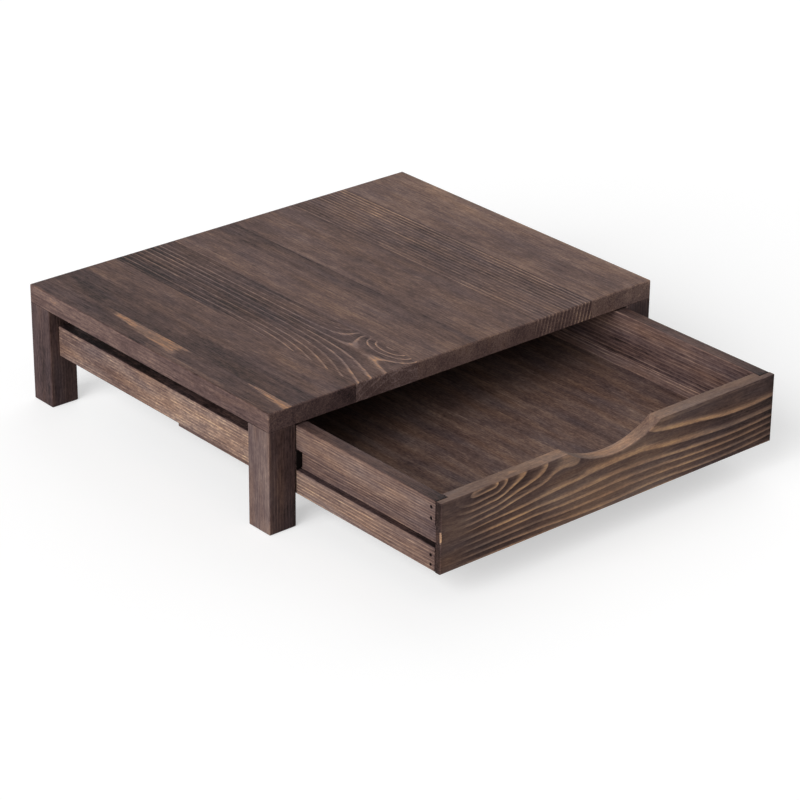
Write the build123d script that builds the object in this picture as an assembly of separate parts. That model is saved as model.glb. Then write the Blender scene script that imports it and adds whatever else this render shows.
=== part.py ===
from build123d import *
import os

# A low wooden stand with a slide-out drawer under its top. The stand's top is glued up from staves
# that run front to back. The drawer hangs on two wooden runners, which fill the grooves in its sides.
# X is left to right, -Y is the front, +Z is up. Lengths are in millimetres.
# Every piece is built about the stand's centre on the floor, and moved at export so that the origin is
# the centre of the whole footprint, with the drawer open as far as it rests.

# ---------------------------------------------------------------- the stand
stand_width = 400.0
stand_depth = 316.0
stand_height = 103.0
top_thickness = 16.0
leg_side = 26.0                 # square section
rail_height = 27.0
rail_set_back = 9.5             # from the leg's outer face to the rail's outer face
rail_slot = 15.5                # open slot between the rail and the top
stave_width = 62.0
first_stave_width = 23.0        # what is left of the outer left stave once the panel is trimmed

# ---------------------------------------------------------------- the drawer
drawer_length = 317.0           # over the front and the back
drawer_height = 58.0
rest_reach = 166.0              # how far the front stands out of the stand, as it rests
front_thickness = 12.5
front_lip = 5.5                 # what the rabbet leaves in front of the side boards
side_thickness = 11.5
back_thickness = 11.5
shoulder_height = 20.0          # full-thickness upper part of the side, which hangs on the runner
lower_board_height = 20.0
groove_depth = 5.5              # runner groove, cut into the side's outer face
scoop_width = 95.0
scoop_depth = 14.5
scoop_corner = 4.0              # radius where the scoop runs out into the top edge
panel_thickness = 4.0
panel_height = 6.5              # from the drawer's lower edge up to the bottom panel
panel_groove_depth = 5.0

# ---------------------------------------------------------------- clearances
drawer_side_gap = 0.8           # drawer side to leg
drawer_top_gap = 1.5            # drawer's upper edge to the underside of the top
runner_top_gap = 0.3            # the shoulder rides here
runner_bottom_gap = 1.2
runner_face_gap = 0.6           # runner to the floor of its groove
lip_gap = 0.8                   # end of a side board to the front's lip, a joint left a little open
panel_edge_gap = 0.5            # room for the panel to swell in its grooves
panel_fit = 0.1                 # above and below the panel in its grooves
glue_gap = 0.1                  # round a dowel in its hole
hole_end_gap = 1.0              # past the end of a dowel, for spare glue

# ---------------------------------------------------------------- fasteners
leg_dowel_diameter = 8.0
leg_dowel_in_top = 10.0
leg_dowel_in_leg = 15.0
leg_dowel_spacing = 12.0
rail_dowel_diameter = 6.0
rail_dowel_length = 30.0
rail_dowel_spacing = 13.0
screw_diameter = 3.5
screw_head_diameter = 7.0
screw_head_height = 2.5
screw_length = 18.0
screws_per_runner = 3
screw_pitch = 95.0
brad_diameter = 1.4
brad_length = 25.0
brad_set = 1.2                  # how deep the brad's head is punched below the surface
brad_hole_gap = 0.25            # round the brad, where the punch has opened the hole
brad_inset = 4.5                # from the end of a side board to its brads
upper_brad_drops = (6.0, 15.5)  # below the drawer's upper edge
lower_brad_rises = (4.5, 12.5)  # above the drawer's lower edge
panel_brads = 5                 # through the bottom panel into the back
panel_brad_length = 15.0
panel_brad_margin = 25.0        # from the inner face of a side to the first of them

# ---------------------------------------------------------------- eased edges
top_ease = 1.2
leg_ease = 1.2
foot_chamfer = 0.7
rail_ease = 0.8
drawer_ease = 0.9

# ---------------------------------------------------------------- worked out from the sizes above
half_width = stand_width / 2
half_depth = stand_depth / 2
leg_height = stand_height - top_thickness
leg_x = half_width - leg_side / 2
leg_y = half_depth - leg_side / 2

rail_thickness = leg_side - rail_set_back       # its inner face is flush with the legs' inner faces
rail_length = stand_depth - 2 * leg_side
rail_x = half_width - rail_set_back - rail_thickness / 2
rail_top = leg_height - rail_slot
rail_middle = rail_top - rail_height / 2

leg_inner_x = half_width - leg_side
drawer_half_width = leg_inner_x - drawer_side_gap
drawer_inner_half = drawer_half_width - side_thickness
drawer_top = leg_height - drawer_top_gap
drawer_bottom = drawer_top - drawer_height
drawer_front_y = -half_depth - rest_reach
drawer_back_y = drawer_front_y + drawer_length
front_inner_y = drawer_front_y + front_thickness
lip_back_y = drawer_front_y + front_lip
side_front_y = lip_back_y + lip_gap
side_length = drawer_back_y - side_front_y

groove_top = drawer_top - shoulder_height
groove_bottom = drawer_bottom + lower_board_height

runner_thickness = drawer_side_gap + groove_depth - runner_face_gap
runner_top = groove_top - runner_top_gap
runner_bottom = groove_bottom + runner_bottom_gap
runner_middle = (runner_top + runner_bottom) / 2

panel_bottom = drawer_bottom + panel_height
panel_top = panel_bottom + panel_thickness
back_y = drawer_back_y - back_thickness / 2

origin_shift = rest_reach / 2                   # brings the footprint's centre to the origin
overcut = 1.0                                   # how far a cutter runs past the face it enters
same_place = 0.01                               # two coordinates closer than this are the same


# ---------------------------------------------------------------- helpers
def block(x_range, y_range, z_range):
    """A square-edged board between two values along each axis."""
    sizes = [high - low for low, high in (x_range, y_range, z_range)]
    centre = [(low + high) / 2 for low, high in (x_range, y_range, z_range)]
    return Pos(*centre) * Box(*sizes)


def rod(start, direction, diameter, length):
    """A round rod that starts at a point and runs along a direction."""
    plane = Plane(origin=start, z_dir=direction)
    return extrude(plane * Circle(diameter / 2), length)


def edges_near(part, axis, **places):
    """The edges parallel to an axis whose middles lie at the given X, Y or Z, on either side of zero."""
    chosen = part.edges().filter_by(axis)
    for name, place in places.items():
        chosen = [edge for edge in chosen if abs(abs(getattr(edge.center(), name)) - abs(place)) < same_place]
    return chosen


def both_sides(part):
    """The part and its mirror image across the middle of the stand."""
    return {"left": part, "right": mirror(part, about=Plane.YZ)}


# ---------------------------------------------------------------- fasteners and their holes
def leg_dowel_places():
    """Where the dowels stand in the joint between the legs and the top."""
    for x in (-leg_x, leg_x):
        for y in (-leg_y, leg_y):
            for offset in (-leg_dowel_spacing / 2, leg_dowel_spacing / 2):
                yield x, y + offset


def leg_dowels():
    return [
        rod((x, y, leg_height - leg_dowel_in_leg), (0, 0, 1), leg_dowel_diameter, leg_dowel_in_leg + leg_dowel_in_top)
        for x, y in leg_dowel_places()
    ]


def leg_dowel_holes():
    bottom = leg_height - leg_dowel_in_leg - hole_end_gap
    depth = leg_dowel_in_leg + leg_dowel_in_top + 2 * hole_end_gap
    return [
        rod((x, y, bottom), (0, 0, 1), leg_dowel_diameter + 2 * glue_gap, depth) for x, y in leg_dowel_places()
    ]


def rail_dowel_places():
    """Each rail dowel's middle, on the face where a rail meets a leg."""
    for x in (-rail_x, rail_x):
        for y in (-rail_length / 2, rail_length / 2):
            for offset in (-rail_dowel_spacing / 2, rail_dowel_spacing / 2):
                yield x, y, rail_middle + offset


def rail_dowels(diameter=rail_dowel_diameter, length=rail_dowel_length):
    return [rod((x, y - length / 2, z), (0, 1, 0), diameter, length) for x, y, z in rail_dowel_places()]


def rail_dowel_holes():
    return rail_dowels(rail_dowel_diameter + 2 * glue_gap, rail_dowel_length + 2 * hole_end_gap)


def runner_screw(y, shank_diameter, head_diameter):
    """One countersunk screw, driven outwards through the left runner into its rail."""
    head_x = -leg_inner_x + runner_thickness
    face = Plane(origin=(head_x, y, runner_middle), z_dir=(-1, 0, 0))
    head = loft([face * Circle(head_diameter / 2), face.offset(screw_head_height) * Circle(shank_diameter / 2)])
    return head + rod((head_x, y, runner_middle), (-1, 0, 0), shank_diameter, screw_length)


def runner_screws(play=0.0):
    """The screws of the left runner, or with play the holes that take them."""
    first = -screw_pitch * (screws_per_runner - 1) / 2
    return [
        runner_screw(first + number * screw_pitch, screw_diameter + play, screw_head_diameter + play)
        for number in range(screws_per_runner)
    ]


def brad_heights():
    """Heights of the brads in the upper and in the lower side board."""
    return [drawer_top - drop for drop in upper_brad_drops], [drawer_bottom + rise for rise in lower_brad_rises]


def front_brad_heights():
    upper, lower = brad_heights()
    return upper + lower


def back_brad_heights():
    """The back stands on the bottom panel, so it takes only the brads above that."""
    return [z for z in front_brad_heights() if z > panel_top + 2 * brad_diameter]


def side_brads(y, heights):
    """Brads driven in through the left side board, their heads punched below its face."""
    start = -drawer_half_width + brad_set
    return [rod((start, y, z), (1, 0, 0), brad_diameter, brad_length) for z in heights]


def side_brad_holes(y, heights):
    length = brad_set + brad_length
    return [
        rod((-drawer_half_width, y, z), (1, 0, 0), brad_diameter + 2 * brad_hole_gap, length) for z in heights
    ]


front_brad_y = side_front_y + brad_inset
back_brad_y = drawer_back_y - brad_inset


def panel_brads_up(diameter, length, start):
    """Brads driven up through the bottom panel into the back's lower edge."""
    reach = drawer_inner_half - panel_brad_margin
    pitch = 2 * reach / (panel_brads - 1)
    return [
        rod((-reach + number * pitch, back_y, start), (0, 0, 1), diameter, length) for number in range(panel_brads)
    ]


def panel_brad_holes():
    return panel_brads_up(brad_diameter + 2 * brad_hole_gap, brad_set + panel_brad_length, panel_bottom)


# ---------------------------------------------------------------- the stand's pieces
def top_staves():
    """The edge-glued top: one eased panel, sawn into staves along the glue lines."""
    panel = block((-half_width, half_width), (-half_depth, half_depth), (leg_height, stand_height))
    panel = fillet(panel.edges().filter_by(Axis.Z), top_ease)
    upper = panel.faces().sort_by(Axis.Z)[-1].edges()
    panel = fillet(upper, top_ease)
    lower = panel.faces().sort_by(Axis.Z)[0].edges()
    panel = chamfer(lower, top_ease / 3)
    panel = panel - leg_dowel_holes()

    staves = {}
    left = -half_width
    right = left + first_stave_width
    number = 1
    while left < half_width:
        if right + stave_width / 4 > half_width:
            right = half_width                  # a sliver is never glued on: the last stave is wider
        span = block((left, right), (-half_depth, half_depth), (leg_height, stand_height))
        staves[f"top_stave_{number}"] = panel & span
        left, right = right, right + stave_width
        number += 1
    return staves


def legs():
    """Square legs, flush with the top's corners, bored for the dowels of the top and the rails."""
    holes = leg_dowel_holes() + rail_dowel_holes()
    pieces = {}
    for depth_name, y in (("front", -leg_y), ("back", leg_y)):
        for side_name, x in (("left", -leg_x), ("right", leg_x)):
            leg = Pos(x, y, leg_height / 2) * Box(leg_side, leg_side, leg_height)
            leg = fillet(leg.edges().filter_by(Axis.Z), leg_ease)
            leg = chamfer(leg.faces().sort_by(Axis.Z)[0].edges(), foot_chamfer)
            pieces[f"leg_{depth_name}_{side_name}"] = leg - holes
    return pieces


def side_rail():
    """The left side rail, doweled between the legs, with screw holes for its runner."""
    rail = Pos(-rail_x, 0, rail_middle) * Box(rail_thickness, rail_length, rail_height)
    rail = fillet(rail.edges().filter_by(Axis.Y), rail_ease)
    return rail - rail_dowel_holes() - runner_screws(2 * glue_gap)


def runner():
    """The left runner, a strip as long as the stand is deep, screwed to the rail's inner face."""
    strip = block(
        (-leg_inner_x, -leg_inner_x + runner_thickness), (-half_depth, half_depth), (runner_bottom, runner_top)
    )
    inner = edges_near(strip, Axis.Y, X=-leg_inner_x + runner_thickness)
    strip = chamfer(inner, runner_face_gap)
    return strip - runner_screws(2 * glue_gap)


# ---------------------------------------------------------------- the drawer's pieces
def drawer_front():
    """The front: rabbeted ends, a groove for the bottom panel, and the finger scoop in its upper edge."""
    board = block(
        (-drawer_half_width, drawer_half_width), (drawer_front_y, front_inner_y), (drawer_bottom, drawer_top)
    )

    scoop_radius = (scoop_width**2 / 4 + scoop_depth**2) / (2 * scoop_depth)
    scoop_centre = (0, drawer_front_y - overcut, drawer_top - scoop_depth + scoop_radius)
    board -= rod(scoop_centre, (0, 1, 0), 2 * scoop_radius, front_thickness + 2 * overcut)
    board = fillet(edges_near(board, Axis.Y, X=scoop_width / 2, Z=drawer_top), scoop_corner)

    # The face's outline is eased all round, and so is the scoop's inner edge.
    outline = board.faces().sort_by(Axis.Y)[0].edges()
    board = fillet(outline, drawer_ease)
    inner_upper = [
        edge
        for edge in board.faces().sort_by(Axis.Y)[-1].edges()
        if edge.center().Z > drawer_bottom + drawer_ease and abs(edge.center().X) < drawer_half_width - drawer_ease
    ]
    board = fillet(inner_upper, drawer_ease)

    rabbet_y = (lip_back_y, front_inner_y + overcut)
    rabbet_z = (drawer_bottom - overcut, drawer_top + overcut)
    rabbet = block((-drawer_half_width - overcut, -drawer_inner_half), rabbet_y, rabbet_z)
    for side in both_sides(rabbet).values():
        board -= side
    board -= block(
        (-drawer_inner_half, drawer_inner_half),
        (front_inner_y - panel_groove_depth, front_inner_y + overcut),
        (panel_bottom - panel_fit, panel_top + panel_fit),
    )
    for side in both_sides(Compound(side_brad_holes(front_brad_y, front_brad_heights()))).values():
        board -= side
    return board


def upper_side_board():
    """The left side's upper board, cut back below its shoulder to form the runner's groove."""
    outer, inner = -drawer_half_width, -drawer_inner_half
    cut_back = outer + groove_depth
    profile = Polyline(
        (outer, drawer_top),
        (inner, drawer_top),
        (inner, groove_bottom),
        (cut_back, groove_bottom),
        (cut_back, groove_top),
        (outer, groove_top),
        close=True,
    )
    section = make_face(Plane.XZ.offset(-side_front_y) * profile)
    board = extrude(section, side_length, dir=(0, 1, 0))
    board = fillet(edges_near(board, Axis.Y, Z=drawer_top), drawer_ease)
    board -= side_brad_holes(front_brad_y, front_brad_heights())
    return board - side_brad_holes(back_brad_y, back_brad_heights())


def lower_side_board():
    """The left side's lower board: its upper edge is the groove's lower side, its inner face takes the panel."""
    outer, inner = -drawer_half_width, -drawer_inner_half
    board = block((outer, inner), (side_front_y, drawer_back_y), (drawer_bottom, groove_bottom))
    board = fillet(edges_near(board, Axis.Y, X=outer), drawer_ease)
    board -= block(
        (inner - panel_groove_depth, inner + overcut),
        (side_front_y - overcut, drawer_back_y + overcut),
        (panel_bottom - panel_fit, panel_top + panel_fit),
    )
    board -= side_brad_holes(front_brad_y, front_brad_heights())
    return board - side_brad_holes(back_brad_y, back_brad_heights())


def drawer_back():
    """The back, held between the sides and standing on the bottom panel."""
    board = block(
        (-drawer_inner_half, drawer_inner_half), (drawer_back_y - back_thickness, drawer_back_y), (panel_top, drawer_top)
    )
    board = fillet(edges_near(board, Axis.X, Z=drawer_top), drawer_ease)
    for side in both_sides(Compound(side_brad_holes(back_brad_y, back_brad_heights()))).values():
        board -= side
    return board - panel_brad_holes()


def bottom_panel():
    """The thin bottom, slid into the grooves of the sides and the front from behind."""
    tongue = panel_groove_depth - panel_edge_gap
    wide = drawer_inner_half + tongue
    panel = block((-wide, wide), (front_inner_y, drawer_back_y), (panel_bottom, panel_top))
    panel += block(
        (-drawer_inner_half, drawer_inner_half), (front_inner_y - tongue, front_inner_y), (panel_bottom, panel_top)
    )
    return panel - panel_brad_holes()


# ---------------------------------------------------------------- the whole, node by node
def stand_nodes():
    nodes = {**top_staves(), **legs()}
    for side, rail in both_sides(side_rail()).items():
        nodes[f"side_rail_{side}"] = rail
    for side, strip in both_sides(runner()).items():
        nodes[f"runner_{side}"] = strip
    nodes["leg_dowels"] = Compound(leg_dowels())
    nodes["rail_dowels"] = Compound(rail_dowels())
    nodes["runner_screws"] = Compound(list(both_sides(Compound(runner_screws())).values()))
    return nodes


def drawer_nodes():
    nodes = {"drawer_front": drawer_front(), "drawer_back": drawer_back(), "drawer_bottom": bottom_panel()}
    for side, board in both_sides(upper_side_board()).items():
        nodes[f"drawer_side_upper_{side}"] = board
    for side, board in both_sides(lower_side_board()).items():
        nodes[f"drawer_side_lower_{side}"] = board
    front_brads = Compound(side_brads(front_brad_y, front_brad_heights()))
    back_brads = Compound(side_brads(back_brad_y, back_brad_heights()))
    nodes["front_brads"] = Compound(list(both_sides(front_brads).values()))
    nodes["back_brads"] = Compound(list(both_sides(back_brads).values()))
    nodes["panel_brads"] = Compound(panel_brads_up(brad_diameter, panel_brad_length, panel_bottom + brad_set))
    return nodes


os.makedirs("parts", exist_ok=True)
for name, piece in {**stand_nodes(), **drawer_nodes()}.items():
    export_step(Pos(0, origin_shift, 0) * piece, f"parts/{name}.step")
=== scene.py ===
"""Looks of a low stained pine stand with a shallow drawer that slides out from under its top.

Every board keeps the solid that the frame gives it and gets a sawn, stained and lacquered softwood finish
of its own: where its growth rings run, how wide they are, where a knot swings them round, and how the
stain took along and across it. Dowels, screws and brads are made here in their turned and drawn forms.
Lengths are in metres in the frame and in millimetres inside a finish.
"""
import logging
import math
from dataclasses import dataclass
from enum import Enum

import bmesh
import bpy
from mathutils import Matrix, Vector


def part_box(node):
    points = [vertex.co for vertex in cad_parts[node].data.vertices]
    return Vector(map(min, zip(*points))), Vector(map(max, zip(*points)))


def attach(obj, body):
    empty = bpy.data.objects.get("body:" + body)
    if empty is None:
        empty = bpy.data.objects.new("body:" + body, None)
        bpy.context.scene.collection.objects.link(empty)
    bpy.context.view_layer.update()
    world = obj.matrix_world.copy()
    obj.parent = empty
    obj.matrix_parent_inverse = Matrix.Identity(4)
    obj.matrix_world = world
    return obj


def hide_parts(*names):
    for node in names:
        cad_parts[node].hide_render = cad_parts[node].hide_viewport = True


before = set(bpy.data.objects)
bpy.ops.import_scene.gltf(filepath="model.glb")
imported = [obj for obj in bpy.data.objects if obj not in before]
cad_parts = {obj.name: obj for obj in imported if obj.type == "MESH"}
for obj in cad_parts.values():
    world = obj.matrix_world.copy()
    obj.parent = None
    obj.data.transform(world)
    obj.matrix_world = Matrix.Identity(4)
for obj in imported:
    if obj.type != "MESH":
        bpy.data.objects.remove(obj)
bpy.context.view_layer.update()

LOG = logging.getLogger("pod_drawer")
MM = 0.001
Socket = bpy.types.NodeSocket
Tree = bpy.types.NodeTree
Profile = tuple[tuple[float, float], ...]
Stops = tuple[tuple[float, str], ...]

MATH = "ShaderNodeMath"
VECTOR_MATH = "ShaderNodeVectorMath"
MAP_RANGE = "ShaderNodeMapRange"
SPLIT = "ShaderNodeSeparateXYZ"
COLOUR_A, COLOUR_B, COLOUR_OUT = 6, 7, 2  # a Mix node's sockets for colours
SEED_STEPS = (1.0, 2.3, 1.7)  # how far a seed of 1 moves a noise along its three axes
NOISE_MIDDLE = 0.5
NOISE_SPREAD = (0.3, 0.7)  # nearly all of a noise's values lie between these
FIBRE_SPREAD = (0.25, 0.75)  # the same where contrast is to be lower
BREAK_SPREAD = (0.3, 0.6)  # and where more of the surface is to be at the high value
RUB_SPREAD = (0.35, 0.65)  # and where contrast is to be higher
TONE_RANGE = (-0.5, 0.5)  # least and most that a profile of tones can give
LINE_RANGE = (0.0, 2.0)  # and a profile of the lines' strength


# ---------------------------------------------------------------- small helpers
def linear(colour: str) -> tuple[float, float, float, float]:
    """Turn an sRGB hex colour into the linear values that Blender's sockets hold.

    Args:
        colour: six hex digits after a hash, as in "#6a564d".

    Returns:
        Red, green and blue, each from 0 to 1, and 1 for alpha.
    """
    parts = [int(colour[place:place + 2], 16) / 255 for place in (1, 3, 5)]
    curved = [part / 12.92 if part <= 0.04045 else ((part + 0.055) / 1.055) ** 2.4 for part in parts]
    return (*curved, 1.0)


def add(tree: Tree, kind: str, *places: object, out: int | str = 0,
        named: dict[int | str, object] | None = None,
        points: Profile = (), handles: str = "AUTO", stops: Stops = (), **settings: object) -> Socket | None:
    """Add one node to a tree, with its settings, and link or fill its inputs.

    Args:
        tree: the node tree that gets the node.
        kind: the node's type name.
        places: what goes into the inputs by position: a socket to link, a value to set, or None to skip.
        out: which output to hand back, by position or by name.
        named: the same for inputs that are chosen by name.
        points: the points of the node's curve, each from 0 to 1.
        handles: AUTO for a smooth curve or VECTOR for straight lines.
        stops: the places and colours of the node's ramp.
        settings: the node's own properties.

    Returns:
        The chosen output socket, or None where the node has no output.
    """
    node = tree.nodes.new(kind)
    for name, value in settings.items():
        setattr(node, name, value)
    if points:
        line = node.mapping.curves[0].points
        while len(line) < len(points):
            line.new(0.5, 0.5)
        for point, place in zip(line, points):
            point.location, point.handle_type = place, handles
        node.mapping.update()
    if stops:
        elements = node.color_ramp.elements
        while len(elements) < len(stops):
            elements.new(0.5)
        for element, (place, colour) in zip(elements, stops):
            element.position, element.color = place, linear(colour)
    for place, value in [*enumerate(places), *(named or {}).items()]:
        if value is None:
            continue
        if isinstance(value, bpy.types.NodeSocket):
            tree.links.new(value, node.inputs[place])
        else:
            node.inputs[place].default_value = value
    return node.outputs[out] if node.outputs else None


def read_profile(tree: Tree, way: Socket, length: float, profile: Profile, low: float, high: float) -> Socket:
    """Read a profile at a place along a board, so that a size or a tone can change on the way.

    Args:
        tree: the node tree.
        way: how far along the place is, in mm.
        length: how long the whole way is, in mm.
        profile: its points, each a share of the way and a value.
        low: the lowest value that it can give.
        high: the highest.

    Returns:
        The value's socket.
    """
    share = add(tree, MATH, way, length, operation="DIVIDE")
    shape = add(tree, "ShaderNodeFloatCurve", 1.0, share,
                points=tuple((place, (value - low) / (high - low)) for place, value in profile))
    return add(tree, MATH, shape, high - low, low, operation="MULTIPLY_ADD")


def new_material(name: str) -> tuple[bpy.types.Material, Tree]:
    """Start a material with an empty node tree.

    Args:
        name: the material's name.

    Returns:
        The material and its tree.
    """
    material = bpy.data.materials.new(name)
    material.use_nodes = True
    material.node_tree.nodes.clear()
    return material, material.node_tree


def dress(node: str, material: bpy.types.Material) -> None:
    """Put one material on a CAD node.

    Args:
        node: the node's name.
        material: its finish.
    """
    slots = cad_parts[node].data.materials
    slots.clear()
    slots.append(material)
    LOG.info("%s: %s", node, material.name)


# ---------------------------------------------------------------- wood
class Laid(Enum):
    """How a board lies: the frame axes of its length, width and thickness, and from which end each is read.

    A sign of +1 reads from the low end of the axis and -1 from the high end, so that the length starts
    at the end that is farther from the viewer or at the left, the width at its left or upper edge,
    and the thickness at the face that shows.
    """

    FLAT = (("Y", -1), ("X", 1), ("Z", -1))
    LEG = (("Z", -1), ("X", 1), ("Y", 1))
    LEFT_SIDE = (("Y", -1), ("Z", -1), ("X", 1))
    RIGHT_SIDE = (("Y", -1), ("Z", -1), ("X", -1))
    ACROSS = (("X", 1), ("Z", -1), ("Y", 1))


class Patch(Enum):
    """A kind of patch in the wood: its length, width and depth in mm, its detail and a seed of its own."""

    BEND = ((150.0, 32.0, 32.0), 2.0, 0.0)
    RIPPLE = ((42.0, 7.0, 7.0), 2.0, 0.0)
    FIBRE = ((26.0, 0.9, 0.9), 3.0, 5.0)  # real fibres are finer: these are as coarse as it takes to show
    BREAK = ((1.0, 0.15, 0.15), 3.0, 9.0)  # stretched by how long a line keeps its strength
    BLOTCH = ((110.0, 24.0, 24.0), 2.0, 11.0)
    CLOUD = ((20.0, 11.0, 11.0), 4.0, 22.0)
    WIPE = ((4.0, 1.9, 1.9), 2.0, 33.0)
    SHORT_FIBRE = ((11.0, 1.1, 1.1), 2.0, 44.0)
    LONG_FIBRE = ((60.0, 1.7, 1.7), 2.0, 55.0)
    SPECK = ((2.4, 0.9, 0.9), 2.0, 66.0)
    PORE = ((3.0, 0.6, 0.6), 2.0, 23.0)
    RAGGED = ((22.0, 2.2, 2.2), 3.0, 31.0)
    RUBBED = ((9.0, 4.0, 4.0), 3.0, 41.0)
    GLOW = ((70.0, 14.0, 14.0), 3.0, 61.0)
    TORN = ((4.0, 2.0, 2.0), 3.0, 71.0)


@dataclass(frozen=True)
class Spot:
    """Where a shaded point lies on its board, as sockets that give mm, and the board's sizes in mm."""

    tree: Tree
    place: Socket  # the three ways below as one vector
    along: Socket
    across: Socket
    through: Socket
    length: float
    width: float


@dataclass(frozen=True)
class Swirl:
    """A place where the growth rings swing round a knot that lies beside or below the face, in mm."""

    along: float
    across: float
    length: float
    width: float
    lift: float


@dataclass(frozen=True)
class Streak:
    """A patch of a stripe where the stain took less or more: from and to along and across, in mm."""

    along: tuple[float, float]
    across: tuple[float, float]
    depth: float  # step on the ladder
    taper: float = 0.0  # how much farther in the first edge starts
    soft: float = 3.0  # mm over which the first edge fades in
    ragged: float = 0.5  # how far that edge wanders, as a share of the width
    end_wander: float = 80.0  # mm that the ends wander, at a raggedness of 1
    end_fade: float = 3.0  # how much softer the ends are than the first edge
    far_fade: float = 0.15  # and how much softer the second edge is, which is sharp


@dataclass(frozen=True)
class Chip:
    """A small torn or darkened spot, with its middle and half sizes in mm of the board.

    It is a splinter out of an arris, down to raw wood, or the dark round a brad hole, drawn as pooled stain
    and painted shade of the hole.
    """

    middle: tuple[float, float, float]
    half: tuple[float, float, float]
    lift: float = 0.6  # step on the ladder, below 0 for the dark round a hole: pooled stain and painted shade
    ragged: float = 1.2  # how far its outline wanders, in half sizes
    edge: tuple[float, float] = (1.35, 1.6)  # where its outline fades, raggedness and all


@dataclass(frozen=True)
class Cathedral:
    """The figure of a board whose face runs close to the pith at one end: loops, a wide ring, even rings.

    A profile's points are mm along the board and mm across it.
    """

    pith_across: Profile  # where the pith lies across the board
    pith_depth: Profile  # how far it lies from the face
    lines: tuple[tuple[Profile, float], ...]  # pale lines below the loops, and the rings that each closes
    loop_radius: float = 25.6  # from the pith to the edge of the loops
    loop_ring: float = 5.2  # ring width inside it
    unfinished: float = 0.3  # how much of a ring lies past the outermost loop's pale line
    thinnest: float = 0.01  # least mm between two lines, so that no division by 0 comes up
    reach: tuple[float, float] = (-20.0, 70.0)  # least and most mm that a profile can give


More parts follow.
